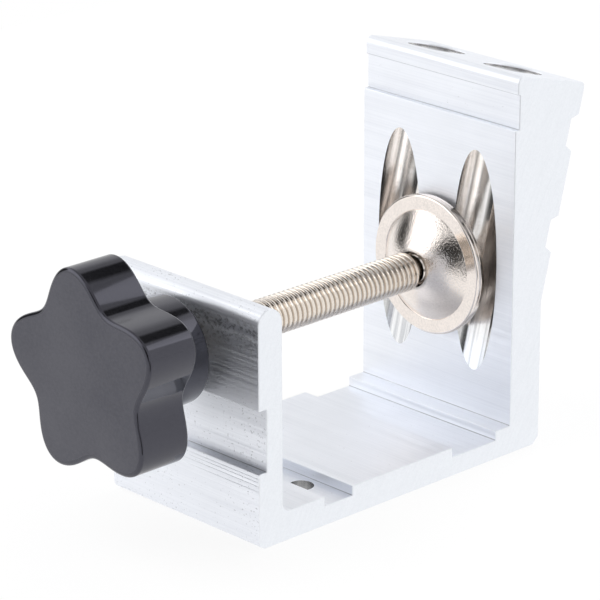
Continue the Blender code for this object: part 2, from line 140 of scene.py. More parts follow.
# Lamps, aimed at the jig's middle: name, place, width, height, power in watts, and whether metal mirrors them
LAMP_AIM = Vector((0, -0.03, 0.03))
LAMPS = (
    ("soft_key", (-0.28, -0.42, 0.55), 0.5, 0.5, 2.4, False),
    ("soft_fill", (0.55, 0.1, 0.4), 0.5, 0.5, 1.2, False),
    ("soft_back", (-0.2, 0.5, 0.5), 0.5, 0.5, 1.2, False),
    ("screw_card", (0.055, 0.136, 0.226), 0.29, 0.08, 0.066, True),
)


def length(name, default, description):
    """A length that a user can set."""
    return FloatProperty(name=name, description=description, default=default, min=0.0,
                         unit="LENGTH", subtype="DISTANCE", precision=5)


def angle(name, degrees, description):
    """An angle that a user can set."""
    return FloatProperty(name=name, description=description, default=math.radians(degrees),
                         unit="ROTATION", subtype="ANGLE")


def tint(name, default, description):
    """A colour that a user can set."""
    return FloatVectorProperty(name=name, description=description, default=default, size=3,
                               min=0.0, max=1.0, subtype="COLOR")


class BodySizes(bpy.types.PropertyGroup):
    """Section of the extrusion and what is cut into it."""
    width: length("Width", BODY_HIGH.x - BODY_LOW.x, "Sawn width of the extrusion")
    throat: length("Throat", 0.0626, "From the upright's inner face to the work face")
    base: length("Base", 0.006, "Thickness of the base")
    upright: length("Upright", 0.0061, "Thickness of the short upright")
    upright_height: length("Upright height", 0.0476, "Height of the short upright")
    outer_round: length("Outer round", 0.0027, "Round on the upright's outer top edge")
    inner_round: length("Inner round", 0.0033, "Round on the upright's inner top edge")
    upright_fillet: length("Upright fillet", 0.002, "Fillet between the upright and the base")
    foot_height: length("Foot height", 0.0154, "Height of the foot below the finger recess")
    foot_round: length("Foot round", 0.0018, "Round on the foot's lower edge")
    recess_height: length("Recess height", 0.0126, "Height of the finger recess")
    recess_depth: length("Recess depth", 0.002, "Depth of the finger recess")
    groove_depth: length("Groove depth", 0.002, "Depth of the grooves in the base and the fence's back")
    bench_groove: length("Bench groove", 0.011, "From the upright to the groove for bench screws")
    bench_groove_width: length("Bench groove width", 0.0074, "Width of the groove for bench screws")
    chip_groove: length("Chip groove", 0.0041, "From the work face to the groove for chips")
    chip_groove_width: length("Chip groove width", 0.0125, "Width of the groove for chips")
    fence: length("Fence", 0.0085, "Thickness of the fence below the guide block")
    heel_chamfer: length("Heel chamfer", 0.0015, "Chamfer on the fence's lower back edge")
    band_height: length("Band height", 0.0071, "Height of the sunk band under the lip")
    band_depth: length("Band depth", 0.0011, "Depth of the sunk band under the lip")
    lip_height: length("Lip height", 0.004, "Height of the lip at the top of the fence")
    lip_setback: length("Lip setback", 0.0006, "From the work face's plane back to the lip")
    lip_round: length("Lip round", 0.0014, "Round on the lip's top edge")
    guide_angle: angle("Guide angle", 15.0, "Slant of the guides from the work face")
    guide_spacing: length("Guide spacing", 0.021, "Between the two guides' axes")
    guide_bore: length("Guide bore", 0.012, "Diameter of the guide bores")
    guide_crossing: length("Guide crossing", 0.0384, "Height at which the guides' axes cross the work face")
    guide_reach: length("Guide reach", 0.0392, "Along a guide from the work face to the top face")
    guide_wall: length("Guide wall", 0.0043, "Wall behind the guide bores")
    guide_chamfer: length("Guide chamfer", 0.00025, "Chamfer on the mouths of the guide bores")
    back_round: length("Back round", 0.0012, "Round on the guide block's upper back edge")
    sleeve_bore: length("Sleeve bore", 0.0095, "Diameter of the bore in the guide sleeves")
    sleeve_length: length("Sleeve length", 0.015, "Length of the guide sleeves")
    sleeve_depth: length("Sleeve depth", 0.0008, "From the top face down to the guide sleeves")
    sleeve_chamfer: length("Sleeve chamfer", 0.0003, "Chamfer on the guide sleeves' edges")
    bench_hole: length("Bench hole", 0.005, "Diameter of the holes for bench screws")
    edge_round: length("Edge round", 0.00018, "Round on the extrusion's plain edges")
    saw_chamfer: length("Saw chamfer", 0.00014, "Chamfer left on the sawn edges")
    draw_line: length("Draw line", 0.00004, "Depth of the drawing lines on the foot and the base")


class ScrewSizes(bpy.types.PropertyGroup):
    """Clamp screw and the tapped hole that it runs in."""
    diameter: length("Diameter", 0.0079, "Over the crests of the thread")
    pitch: length("Pitch", 0.00125, "Along the screw from crest to crest")
    thread_depth: length("Thread depth", 0.00052, "From the crests to the roots")
    neck: length("Neck", 0.0058, "Diameter of the neck behind the ball")
    neck_length: length("Neck length", 0.001, "Length of the neck")
    spigot: length("Spigot", 0.004, "Diameter of the spigot in the ball")
    spigot_length: length("Spigot length", 0.0031, "Length of the spigot")
    spigot_chamfer: length("Spigot chamfer", 0.0003, "Chamfer on the spigot's end")
    thread_gap: length("Thread gap", 0.00008, "Play between the screw and the tapped hole")


class KnobSizes(bpy.types.PropertyGroup):
    """Star knob and its insert."""
    lobes: IntProperty(name="Lobes", description="Lobes round the knob", default=5, min=3, max=12)
    diameter: length("Diameter", 0.042, "Over the lobes")
    lobe_depth: length("Lobe depth", 0.0054, "From the lobes' tops to the hollows between them")
    clocking: angle("Clocking", 27.5, "Turn of the lobes about the screw")
    head: length("Head", 0.012, "Thickness of the lobed head")
    rim_round: length("Rim round", 0.0009, "Round on the head's two rims")
    crown: length("Crown", 0.0003, "Rise of the front face to its middle")
    hub: length("Hub", 0.0214, "Diameter of the hub's end")
    hub_root: length("Hub root", 0.0222, "Diameter of the hub where it leaves the head")
    hub_fillet: length("Hub fillet", 0.0008, "Fillet where the hub leaves the head")
    hub_round: length("Hub round", 0.0006, "Round on the hub's end")
    seat_chamfer: length("Seat chamfer", 0.0002, "Chamfer on the insert's seat")
    core: length("Core", 0.008, "Diameter of the blind bore behind the insert")
    insert_chamfer: length("Insert chamfer", 0.0004, "Chamfer on the insert's end")


class PadSizes(bpy.types.PropertyGroup):
    """Swivel pad."""
    sheet: length("Sheet", 0.0006, "Thickness of the face plate under the ball")
    plate_round: length("Plate round", 0.0003, "Round on the face plate's edge")
    dome_sheet: length("Dome sheet", 0.0007, "Thickness of the dome")
    dome_base: length("Dome base", 0.0226, "Diameter of the dome at its flange")
    crease: length("Crease", 0.00009, "Depth of the crease between the dome and its flange")
    rim_round: length("Rim round", 0.0005, "Round on the flange's turned rim")
    mouth: length("Mouth", 0.0074, "Diameter of the mouth that holds the ball")
    # Painted shade round the dome's mouth reaches this far.
    mouth_dirt: length("Mouth dirt", 0.0007, "How far dirt reaches from the mouth")
    sheet_gap: length("Sheet gap", 0.0002, "Gap between the two sheets")


class FinishColours(bpy.types.PropertyGroup):
    """Colours of the finishes."""
    aluminium: tint("Aluminium", (0.92, 0.943, 0.995), "Drawn faces of the extrusion")
    sawn: tint("Sawn ends", (0.92, 0.945, 0.985), "Sawn ends of the extrusion")
    bore: tint("Bores", (0.97, 0.955, 0.945), "Reamed guide bores")
    steel: tint("Sleeve steel", (0.66, 0.67, 0.70), "Hardened guide sleeves")
    nickel: tint("Nickel", (0.90, 0.83, 0.78), "Nickel plate on the ball and the pad")
    thread: tint("Thread", (0.86, 0.785, 0.705), "Yellowed nickel plate on the screw")
    zinc: tint("Zinc", (0.36, 0.36, 0.38), "Plated insert in the knob")
    plastic: tint("Plastic", (0.010, 0.010, 0.012), "Moulded knob")
    plastic_gloss: tint("Gloss of the plastic", (0.82, 0.82, 1.0), "Tint of the light that the knob mirrors")


class StageSettings(bpy.types.PropertyGroup):
    """Camera and floor."""
    azimuth: angle("Azimuth", 46.389, "Direction of the camera round the jig")
    elevation: angle("Elevation", 19.973, "Height of the camera above the horizon")
    roll: angle("Roll", 0.159, "Turn of the picture")
    lens: FloatProperty(name="Lens", description="Focal length on a 36 mm sensor", default=204.97,
                        min=1.0, unit="CAMERA")
    eye: FloatVectorProperty(name="Eye", description="Place of the camera", size=3, unit="LENGTH",
                             default=(0.452025, -0.468703, 0.263904), subtype="XYZ")
    floor: tint("Floor", (0.92, 0.92, 0.92), "Pale floor")


class Nodes:
    """A tree of shader nodes, and short ways to add to it."""

    def __init__(self, owner):
        owner.use_nodes = True
        self.tree = owner.node_tree

    def put(self, node, name, value):
        """Set one of a node's inputs, or link it."""
        if isinstance(value, bpy.types.NodeSocket):
            self.tree.links.new(value, node.inputs[name])
        else:
            node.inputs[name].default_value = value

    def add(self, kind, inputs=None, **settings):
        """Add a node, set its options, and set or link its inputs."""
        node = self.tree.nodes.new("ShaderNode" + kind)
        for name, value in settings.items():
            setattr(node, name, value)
        for name, value in (inputs or {}).items():
            self.put(node, name, value)
        return node

    def combine(self, operation, *values):
        """A math node on two or three values."""
        return self.add("Math", dict(enumerate(values)), operation=operation).outputs["Value"]

    def spread(self, value, span, low=0.0, high=1.0):
        """Map a value's span to low and high, held at its ends."""
        inputs = {"Value": value, "From Min": span[0], "From Max": span[1], "To Min": low, "To Max": high}
        return self.add("MapRange", inputs).outputs["Result"]

    def along(self, vector, direction):
        """How far a vector reaches along a direction."""
        return self.add("VectorMath", {0: vector, 1: direction}, operation="DOT_PRODUCT").outputs["Value"]


class Finish(Nodes):
    """A material with a Principled shader, and textures placed by the piece's own axes."""

    def __init__(self, name, metallic, roughness):
        self.material = bpy.data.materials.new(name)
        super().__init__(self.material)
        self.shader = self.tree.nodes["Principled BSDF"]
        self.feed("Metallic", metallic)
        self.feed("Roughness", roughness)
        self.place = self.add("TexCoord").outputs["Object"]

    def feed(self, name, value):
        """Set one of the shader's inputs, or link it."""
        self.put(self.shader, name, value)

    def grain(self, scale, detail=3.0, rough=0.55, warp=0.0, turn=0.0, place=None):
        """Noise with its own scale along each axis, in bumps per metre, turned about X."""
        start = self.place if place is None else place
        turned_place = self.add("Mapping", {"Vector": start, "Rotation": (turn, 0, 0)}).outputs["Vector"]
        stretched = self.add("Mapping", {"Vector": turned_place, "Scale": scale}).outputs["Vector"]
        noise = self.add("TexNoise", {"Vector": stretched, "Scale": 1.0, "Detail": detail,
                                      "Roughness": rough, "Distortion": warp})
        return noise.outputs["Fac"]

    def blend(self, first, second, share):
        """Mix two values by a share of the second."""
        return self.add("Mix", {"Factor": share, "A": first, "B": second}).outputs["Result"]

    def tinted(self, share, first, second):
        """Mix two colours, plain or from nodes, by a share of the second."""
        inputs = {"Factor": share}
        for socket, colour in ((FIRST_COLOUR, first), (SECOND_COLOUR, second)):
            mixed = isinstance(colour, bpy.types.NodeSocket)
            inputs[socket] = colour if mixed else (*colour, 1.0)
        return self.add("Mix", inputs, data_type="RGBA").outputs[MIXED_COLOUR]

    def mottled(self, tone, span, colour, darkest):
        """A colour that is darkened to a share of itself where a tone is low."""
        return self.tinted(self.spread(tone, span), shaded(colour, darkest), colour)

    def emboss(self, height, depth, strength):
        """Turn a value into bumps of a depth, in metres."""
        bump = self.add("Bump", {"Height": height, "Distance": depth, "Strength": strength})
        self.feed("Normal", bump.outputs["Normal"])

    def from_axis(self):
        """Distance of a point from the piece's own Z axis."""
        flat = self.add("VectorMath", {0: self.place, 1: (1, 1, 0)}, operation="MULTIPLY")
        return self.add("VectorMath", {0: flat.outputs["Vector"]}, operation="LENGTH").outputs["Value"]


def shaded(colour, share):
    """A colour darkened to a share of itself."""
    return tuple(channel * share for channel in colour)


def made_once(maker, name, *values, **settings):
    """Make a finish once, and find it again for the next piece."""
    return bpy.data.materials.get(name) or maker(name, *values, **settings)


def upright_film(metal, body, ahead):
    """Where a mottled film lies: on the upright's outer face, below the round of its top edge."""
    outer = -body.throat - body.upright
    flat_top = body.upright_height - body.outer_round
    up = metal.along(metal.place, UP)
    film = metal.spread(metal.grain((1000, 1400, 1400), detail=4.0, rough=0.7), (0.48, 0.6), high=0.9)
    for limit in (
        metal.spread(ahead, (outer + 0.0002, outer + 0.0007), 1.0, 0.0),
        metal.spread(up, (flat_top - 0.0089, flat_top - 0.0019)),
        metal.spread(up, (flat_top - 0.0008, flat_top + 0.0001), 1.0, 0.0),
    ):
        film = metal.combine("MULTIPLY", film, limit)
    return film


def drawn_aluminium(name, colour, body):
    """Mill-finish extrusion: lines along the width, bands, clouds, specks, painted shade in inner corners and
    under ledges, and a film.
    """
    metal = Finish(name, metallic=0.96, roughness=0.45)
    lines = metal.grain((22, 3000, 3000), detail=5.0, rough=0.62)
    bands = metal.grain((8, 420, 420))
    clouds = metal.grain((90, 120, 120))
    tone = metal.blend(metal.blend(lines, bands, share=0.3), clouds, share=0.3)
    base = metal.mottled(tone, (0.36, 0.6), colour, darkest=0.94)
    ahead = metal.along(metal.place, AHEAD)
    handled = metal.spread(ahead, (-body.throat - 0.0034, -body.throat + 0.0076), 0.33, 0.17)
    pits = metal.grain((1700, 2200, 2200), detail=2.0)
    pits = metal.combine("ADD", pits, metal.combine("MULTIPLY", clouds, handled))
    specks = metal.spread(pits, (0.815, 0.875), high=0.6)
    # Painted shade: a dark line along the section's inner corners and under its ledges, broken up by clouds.
    corner = metal.add("Attribute", attribute_name="corner_dirt").outputs["Fac"]
    dirt = metal.combine("MULTIPLY", corner, metal.spread(clouds, (0.3, 0.6), low=0.55))
    dirt = metal.combine("MAXIMUM", dirt, upright_film(metal, body, ahead))
    darker_mask = metal.combine("MAXIMUM", specks, dirt)
    metal.feed("Base Color", metal.tinted(darker_mask, base, shaded(colour, 0.48)))
    streaks = metal.blend(lines, bands, share=0.15)
    metal.feed("Roughness", metal.spread(streaks, (0.34, 0.66), 0.6, 0.34))
    metal.emboss(streaks, depth=0.00002, strength=0.6)
    return metal.material


def sawn_aluminium(name, colour):
    """Sawn and tumbled ends: a fine matte tooth, and faint marks from the blade."""
    metal = Finish(name, metallic=1.0, roughness=0.5)
    tooth = metal.grain((2600, 2600, 2600), detail=4.0, rough=0.6)
    blade = metal.grain((900, 1500, 120), detail=4.0, rough=0.6, warp=0.3, turn=0.5)
    tone = metal.blend(tooth, blade, share=0.4)
    metal.feed("Base Color", metal.mottled(tone, (0.34, 0.64), colour, darkest=0.95))
    metal.feed("Roughness", metal.spread(tone, (0.3, 0.7), 0.58, 0.44))
    metal.emboss(tone, depth=0.00002, strength=0.4)
    return metal.material


def reamed_bore(name, colour, body):
    """Bores: streaked by the drill, browned by chips, cleaner low down, painted shade at the foot, plain on
    top.
    """
    metal = Finish(name, metallic=1.0, roughness=0.18)
    slant = body.guide_angle
    rings = metal.grain((160, 300, 2200), detail=4.0, rough=0.6, turn=slant)
    streaks = metal.grain((900, 700, 28), detail=4.0, rough=0.6, turn=slant)
    clouds = metal.grain((260, 260, 120), turn=slant)
    tone = metal.blend(metal.blend(streaks, rings, share=0.25), clouds, share=0.4)
    browned = (0.80 * colour[0], 0.76 * colour[1], 0.72 * colour[2])
    base = metal.tinted(metal.spread(tone, (0.38, 0.54)), browned, colour)
    clean = metal.tinted(metal.spread(streaks, (0.42, 0.56)), (0.66, 0.68, 0.71), (0.96, 0.97, 0.98))
    height = metal.along(metal.place, UP)
    base = metal.tinted(metal.spread(height, (0.018, 0.034), 0.9, 0.0), base, clean)
    # Painted shade low down, inside the bench holes.
    base = metal.tinted(metal.spread(height, (0.004, 0.007), 0.55, 0.0), base, shaded(colour, 0.3))
    up_guide = metal.along(metal.place, (0, math.sin(slant), math.cos(slant)))
    top = body.guide_crossing * math.cos(slant) + body.guide_reach
    mouth = metal.spread(up_guide, (top - 0.0014, top - 0.0008))
    metal.feed("Base Color", metal.tinted(mouth, base, colour))
    gloss = metal.spread(streaks, (0.3, 0.7), 0.26, 0.12)
    metal.feed("Roughness", metal.blend(gloss, 0.2, share=mouth))
    metal.emboss(metal.blend(streaks, rings, share=0.35), depth=0.00004, strength=0.4)
    return metal.material


def nickel_plate(name, colour, gloss, peel, dirt=None, grained=None):
    """Nickel plate: warm and bright, with a fine grain out to a radius, and darkened towards its axis between
    two radii: painted shade round the dome's mouth, and darker towards the roots of the thread.
    """
    metal = Finish(name, metallic=1.0, roughness=gloss)
    grit = metal.grain((2400, 2400, 2400), detail=2.0, rough=0.6)
    tone = metal.blend(grit, metal.grain((260, 260, 260)), share=0.3)
    base = metal.mottled(tone, (0.36, 0.62), colour, darkest=0.9)
    # Darker towards the axis between two radii: painted shade round the dome's mouth, darker roots on the
    # thread.
    if dirt:
        low, high, share = dirt
        darker_mask = metal.spread(metal.from_axis(), (low, high), 1.0, 0.0)
        base = metal.tinted(darker_mask, base, shaded(colour, share))
    metal.feed("Base Color", base)
    metal.feed("Roughness", metal.spread(tone, (0.3, 0.7), gloss * 1.35, gloss * 0.75))
    if grained:
        peel = metal.spread(metal.from_axis(), (grained, grained + 0.0002), peel, 0.15)
    metal.emboss(grit, depth=0.00006, strength=peel)
    return metal.material


def turned_metal(name, colour, gloss):
    """Turned or ground metal: rings about the piece's own axis."""
    metal = Finish(name, metallic=1.0, roughness=gloss)
    height = metal.along(metal.place, UP)
    unrolled = metal.add("CombineXYZ", {0: metal.from_axis(), 2: height}).outputs["Vector"]
    rings = metal.grain((3200, 1, 2600), detail=4.0, rough=0.6, place=unrolled)
    tone = metal.blend(rings, metal.grain((400, 400, 400)), share=0.4)
    metal.feed("Base Color", metal.mottled(tone, (0.34, 0.62), colour, darkest=0.8))
    metal.feed("Roughness", metal.spread(rings, (0.3, 0.7), gloss * 1.3, gloss * 0.8))
    metal.emboss(rings, depth=0.00002, strength=0.5)
    return metal.material


def moulded_plastic(name, colour, gloss, index, dull, shiny, dust):
    """Black moulding: flow clouds in its gloss, wear from handling, and a bloom of fine dust."""
    plastic = Finish(name, metallic=0.0, roughness=dull)
    plastic.feed("IOR", index)
    plastic.feed("Specular Tint", (*gloss, 1.0))
    clouds = plastic.grain((170, 170, 170), detail=4.0)
    rubbing = plastic.grain((900, 900, 900), rough=0.6)
    specks = plastic.grain((1700, 1700, 1700), rough=0.7)
    bloom = plastic.blend(specks, plastic.grain((45, 45, 45), detail=2.0), share=0.5)
    dusty = tuple(channel + dust for channel in colour)
    base = plastic.tinted(plastic.spread(bloom, (0.38, 0.62)), shaded(colour, 0.6), dusty)
    plastic.feed("Base Color", base)
    tone = plastic.blend(rubbing, clouds, share=0.6)
    plastic.feed("Roughness", plastic.spread(tone, (0.32, 0.66), dull, shiny))
    return plastic.material


def arc(centre, radius, start, end, steps=None):
    """Points along an arc about a centre, both ends included."""
    steps = steps or max(3, math.ceil(abs(end - start) / ARC_STEP))
    angles = [start + (end - start) * i / steps for i in range(steps + 1)]
    return [(centre[0] + radius * math.cos(a), centre[1] + radius * math.sin(a)) for a in angles]


def neighbours(points, i):
    """A point of a closed outline, and the directions from it to the points before and after it."""
    here = Vector(points[i][:2])
    before = (Vector(points[i - 1][:2]) - here).normalized()
    after = (Vector(points[(i + 1) % len(points)][:2]) - here).normalized()
    return here, before, after


def rounded(corners):
    """An outline through corners (ahead, up, radius), with an arc at each rounded one."""
    points = []
    for i, (ahead, up, radius) in enumerate(corners):
        if radius == 0:
            points.append((ahead, up))
            continue
        here, before, after = neighbours(corners, i)
        half = before.angle(after) / 2
        first = here + before * (radius / math.tan(half))
        centre = here + (before + after).normalized() * (radius / math.sin(half))
        start = math.atan2(*(first - centre).yx)
        turn = 1 if before.cross(after) < 0 else -1
        points += arc(centre, radius, start, start + turn * (math.pi - 2 * half))
    return points


def inset(points, distance):
    """Move a closed outline inwards. The outline runs clockwise, so its inside is on the right."""
    moved = []
    for i in range(len(points)):
        here, before, after = neighbours(points, i)
        side_before = Vector((-before.y, before.x))
        side_after = Vector((after.y, -after.x))
        middle = (side_before + side_after).normalized()
        moved.append(tuple(here + middle * (distance / max(0.5, middle.dot(side_after)))))
    return moved


def new_mesh(name, bm):
    """Close a bmesh into a mesh, with doubled points welded and all faces turned outwards."""
    bmesh.ops.remove_doubles(bm, verts=bm.verts, dist=WELD)
    bmesh.ops.dissolve_degenerate(bm, edges=bm.edges, dist=WELD / 10)
    bmesh.ops.recalc_face_normals(bm, faces=bm.faces)
    mesh = bpy.data.meshes.new(name)
    bm.to_mesh(mesh)
    bm.free()
    return mesh


def smooth(mesh):
    """Shade a mesh smooth, apart from its sharp edges."""
    mesh.shade_smooth()
    mesh.set_sharp_from_angle(angle=SHARP_ANGLE)
    return mesh


def add_object(name, data, matrix):
    """Put a mesh, a lamp or a camera into the scene."""
    thing = bpy.data.objects.new(name, data)
    bpy.context.scene.collection.objects.link(thing)
    thing.matrix_world = matrix
    return thing


def place_piece(name, mesh, finishes, body, node, matrix):
    """Put a finished mesh into the scene in place of a solid, riding on a body."""
    piece = add_object(name, mesh, matrix)
    for material in finishes:
        mesh.materials.append(material)
    weighted = piece.modifiers.new("Flat faces stay flat", "WEIGHTED_NORMAL")
    weighted.keep_sharp = True
    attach(piece, body)
    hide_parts(node)


def along_screw(ahead=0.0):
    """Matrix of a place on the clamp screw's axis, with Z along the screw towards the work face."""
    return Matrix.Translation((0, ahead, SCREW_AXIS_HEIGHT)) @ Matrix.Rotation(-math.pi / 2, 4, "X")


def circle(radius, steps):
    """Points round a circle about the origin."""
    return [Vector((radius * math.cos(math.tau * i / steps), radius * math.sin(math.tau * i / steps)))
            for i in range(steps)]


def turned(bm, profile, steps=TURN_STEPS, closed=False):
    """Turn a profile (radius, along) about Z into a bmesh."""
    rings = []
    for radius, along in profile:
        if radius < WELD:
            rings.append([bm.verts.new((0, 0, along))] * steps)
        else:
            rings.append([bm.verts.new((*point, along)) for point in circle(radius, steps)])
    pairs = list(zip(rings, rings[1:]))
    if closed:
        pairs.append((rings[-1], rings[0]))
    for upper, lower in pairs:
        for i in range(steps):
            corners = (upper[i - 1], upper[i], lower[i], lower[i - 1])
            face = list(dict.fromkeys(corners))
            if len(face) > 2:
                bm.faces.new(face)


def turned_mesh(name, profile, closed=False):
    """Turn a profile into a shaded mesh."""
    bm = bmesh.new()
    turned(bm, profile, closed=closed)
    return smooth(new_mesh(name, bm))


def guide_point(body, along, behind):
    """The (Y, Z) of a point along a guide's axis, up from the work face, and behind that axis."""
    sine = math.sin(body.guide_angle)
    cosine = math.cos(body.guide_angle)
    return along * sine + behind * cosine, body.guide_crossing + along * cosine - behind * sine


def guide_matrix(body, side, along):
    """Matrix of a place on a guide's axis, with Z up along the guide."""
    place = Matrix.Translation((side * body.guide_spacing / 2, *guide_point(body, along, 0)))
    return place @ Matrix.Rotation(-body.guide_angle, 4, "X")


def bench_hole_matrix(body, side):
    """Matrix of a hole for a bench screw, in the groove beside the upright."""
    middle = body.bench_groove + body.bench_groove_width / 2 - body.throat
    return Matrix.Translation((side * body.guide_spacing / 2, middle, 0))


def drawn_line(ahead, up, depth, level=False):
    """Corners of a fine line drawn into a wall that runs up, or into a level face that runs ahead."""
    half = LINE_SPREAD * depth
    if level:
        return [(ahead - half, up, 0), (ahead, up - depth, 0), (ahead + half, up, 0)]
    return [(ahead, up - half, 0), (ahead + depth, up, 0), (ahead, up + half, 0)]


def foot_corners(body):
    """Section of the foot and upright, up the outer side and down the inner side to the base."""
    inner = -body.throat
    outer = inner - body.upright
    recess_top = body.foot_height + body.recess_height
    sunk = outer + body.recess_depth
    edge = body.edge_round
    corners = [(outer, 0, body.foot_round)]
    for below in FOOT_LINES:
        corners += drawn_line(outer, body.foot_height - below, body.draw_line)
    return corners + [
        (outer, body.foot_height, edge),
        (sunk, body.foot_height, edge),
        (sunk, recess_top, edge),
        (outer, recess_top, edge),
        (outer, body.upright_height, body.outer_round),
        (inner, body.upright_height, body.inner_round),
        (inner, body.base, body.upright_fillet),
    ]


def base_corners(body):
    """Section of the base's top: the groove for bench screws, beside the upright, and the chip groove."""
    edge = body.edge_round
    floor = body.base - body.groove_depth
    bench_start = body.bench_groove - body.throat
    bench_end = bench_start + body.bench_groove_width
    chip_end = -body.chip_groove
    chip_start = chip_end - body.chip_groove_width
    corners = [
        (bench_start, body.base, edge),
        (bench_start, floor, edge),
        (bench_end, floor, edge),
    ]
    for above in GROOVE_LINES:
        corners += drawn_line(bench_end, floor + above, body.draw_line)
    corners.append((bench_end, body.base, edge))
    for beside in LAND_LINES:
        corners += drawn_line(bench_end + beside, body.base, body.draw_line, level=True)
    return corners + [
        (chip_start, body.base, edge),
        (chip_start, floor, edge),
        (chip_end, floor, edge),
        (chip_end, body.base, edge),
    ]


def fence_corners(body):
    """Section of the fence: work face, sunk band, lip, slanted top, grooved back, heel."""
    edge = body.edge_round
    back = body.guide_bore / 2 + body.guide_wall
    setback = body.lip_setback
    lip_reach = body.guide_reach - setback * math.sin(body.guide_angle)
    lip_top = body.guide_crossing + lip_reach / math.cos(body.guide_angle)
    lip_bottom = lip_top - body.lip_height
    face_top = lip_bottom - body.band_height
    corners = [
        (0, body.base, edge),
        (0, face_top, edge),
        (body.band_depth, face_top, edge),
        (body.band_depth, lip_bottom, edge),
        (setback, lip_bottom, edge),
        (setback, lip_top, body.lip_round),
        (*guide_point(body, body.guide_reach, back), body.back_round),
    ]
    for below in BACK_GROOVES:
        top = body.guide_reach - below
        bottom = top - BACK_GROOVE_WIDTH
        floor = back - body.groove_depth
        corners += [
            (*guide_point(body, top, back), edge),
            (*guide_point(body, top - BACK_GROOVE_WALL, floor), edge),
            (*guide_point(body, bottom + BACK_GROOVE_WALL, floor), edge),
            (*guide_point(body, bottom, back), edge),
        ]
    bend = (body.fence - back * math.cos(body.guide_angle)) / math.sin(body.guide_angle)
    return corners + [
        (body.fence, guide_point(body, bend, back)[1], 0),
        (body.fence, body.heel_chamfer, edge),
        (body.fence - body.heel_chamfer, 0, edge),
    ]


def section_corners(body):
    """The whole section of the extrusion, clockwise."""
    return foot_corners(body) + base_corners(body) + fence_corners(body)


def extruded_mesh(body):
    """Extrude the section along X and break its sawn edges."""
    outline = rounded(section_corners(body))
    half = body.width / 2
    cut = body.saw_chamfer
    sawn = inset(outline, cut)
    bm = bmesh.new()
    rings = []
    for across, ring in ((-half, sawn), (cut - half, outline), (half - cut, outline), (half, sawn)):
        rings.append([bm.verts.new((across, *point)) for point in ring])
    for first, second in zip(rings, rings[1:]):
        for i in range(len(outline)):
            bm.faces.new((first[i - 1], first[i], second[i], second[i - 1]))
    bm.faces.new(rings[0])
    bm.faces.new(rings[-1])
    return new_mesh("extruded_body", bm)


def drill(name, matrix, radius, start, end, end_radius=None):
    """A closed cylinder or cone along a matrix's Z, used only to cut."""
    top = radius if end_radius is None else end_radius
    mesh = turned_mesh(name, [(0, end), (top, end), (radius, start), (0, start)])
    return add_object(name, mesh, matrix)


def cut_away(mesh, cutters):
    """Cut a mesh with solids, which are then removed."""
    blank = add_object("blank", mesh, Matrix())
    for cutter in cutters:
        modifier = blank.modifiers.new(cutter.name, "BOOLEAN")
        modifier.object = cutter
        modifier.operation = "DIFFERENCE"
        modifier.solver = "EXACT"
    graph = bpy.context.evaluated_depsgraph_get()
    result = bpy.data.meshes.new_from_object(blank.evaluated_get(graph))
    result.name = mesh.name
    for thing in (*cutters, blank):
        bpy.data.objects.remove(thing, do_unlink=True)
    return result


def body_cutters(body, screw):
    """Everything that is drilled into the extrusion."""
    radius = body.guide_bore / 2
    low = -radius / math.tan(body.guide_angle) - OVERRUN / 2
    mouth = body.guide_reach - body.guide_chamfer
    cutters = []
    for side in (-1, 1):
        guide = guide_matrix(body, side, 0)
        bench = bench_hole_matrix(body, side)
        cutters += [
            drill("bore", guide, radius, low, body.guide_reach + OVERRUN),
            drill("mouth", guide, radius - OVERRUN, mouth - OVERRUN, mouth + OVERRUN, radius + OVERRUN),
            drill("bench_hole", bench, body.bench_hole / 2, -OVERRUN, body.base + OVERRUN),
        ]
    middle = along_screw(-body.throat - body.upright / 2)
    reach = body.upright / 2 + OVERRUN
    cutters.append(drill("screw_hole", middle, screw.diameter / 2 + screw.thread_gap, -reach, reach))
    return cutters


def finish_body_faces(mesh, body):
    """Give the sawn ends and the walls of the guides and bench holes their own finish."""
    near_end = 0.0002
    near_wall = 0.00005
    holes = [(guide_matrix(body, side, 0).inverted(), body.guide_bore / 2) for side in (-1, 1)]
    holes += [(bench_hole_matrix(body, side).inverted(), body.bench_hole / 2) for side in (-1, 1)]
    for face in mesh.polygons:
        faces_sideways = abs(face.normal.x) > 0.5
        if faces_sideways and abs(abs(face.center.x) - body.width / 2) < near_end:
            face.material_index = SAWN
            continue
        for hole, radius in holes:
            middle = hole @ face.center
            faces_axis = abs((hole.to_3x3() @ face.normal).z) < 0.2
            if faces_axis and math.hypot(middle.x, middle.y) < radius + near_wall:
                face.material_index = REAMED


def mark_dirt(mesh, body):
    """Note which points lie in the section's small inner corners and under its ledges, where shade is
    painted.
    """
    corners = section_corners(body)
    dirty = []
    for i, (_, _, radius) in enumerate(corners):
        here, before, after = neighbours(corners, i)
        under_ledge = before.x > 0.9
        if 0 < radius <= body.edge_round and (before.cross(after) < 0 or under_ledge):
            half = before.angle(after) / 2
            dirty.append((here, radius / math.tan(half), radius / math.sin(half) - radius))
    dirt = mesh.attributes.new("corner_dirt", "FLOAT", "POINT")
    for point, value in zip(mesh.vertices, dirt.data):
        place = Vector(point.co.yz)
        for here, far, near in dirty:
            share = (far - (place - here).length) / (far - near)
            value.value = max(value.value, min(1.0, share))


def thread_height(turn):
    """Height of the thread, 0 to 1, at a share of a turn: broad round crest, narrow root."""
    away = abs((turn + 0.5) % 1.0 - 0.5)
    if away < CREST_END:
        return 1.0 - away ** 2
    return max(0.0, (1.0 - CREST_END ** 2) * (ROOT_START - away) / (ROOT_START - CREST_END))


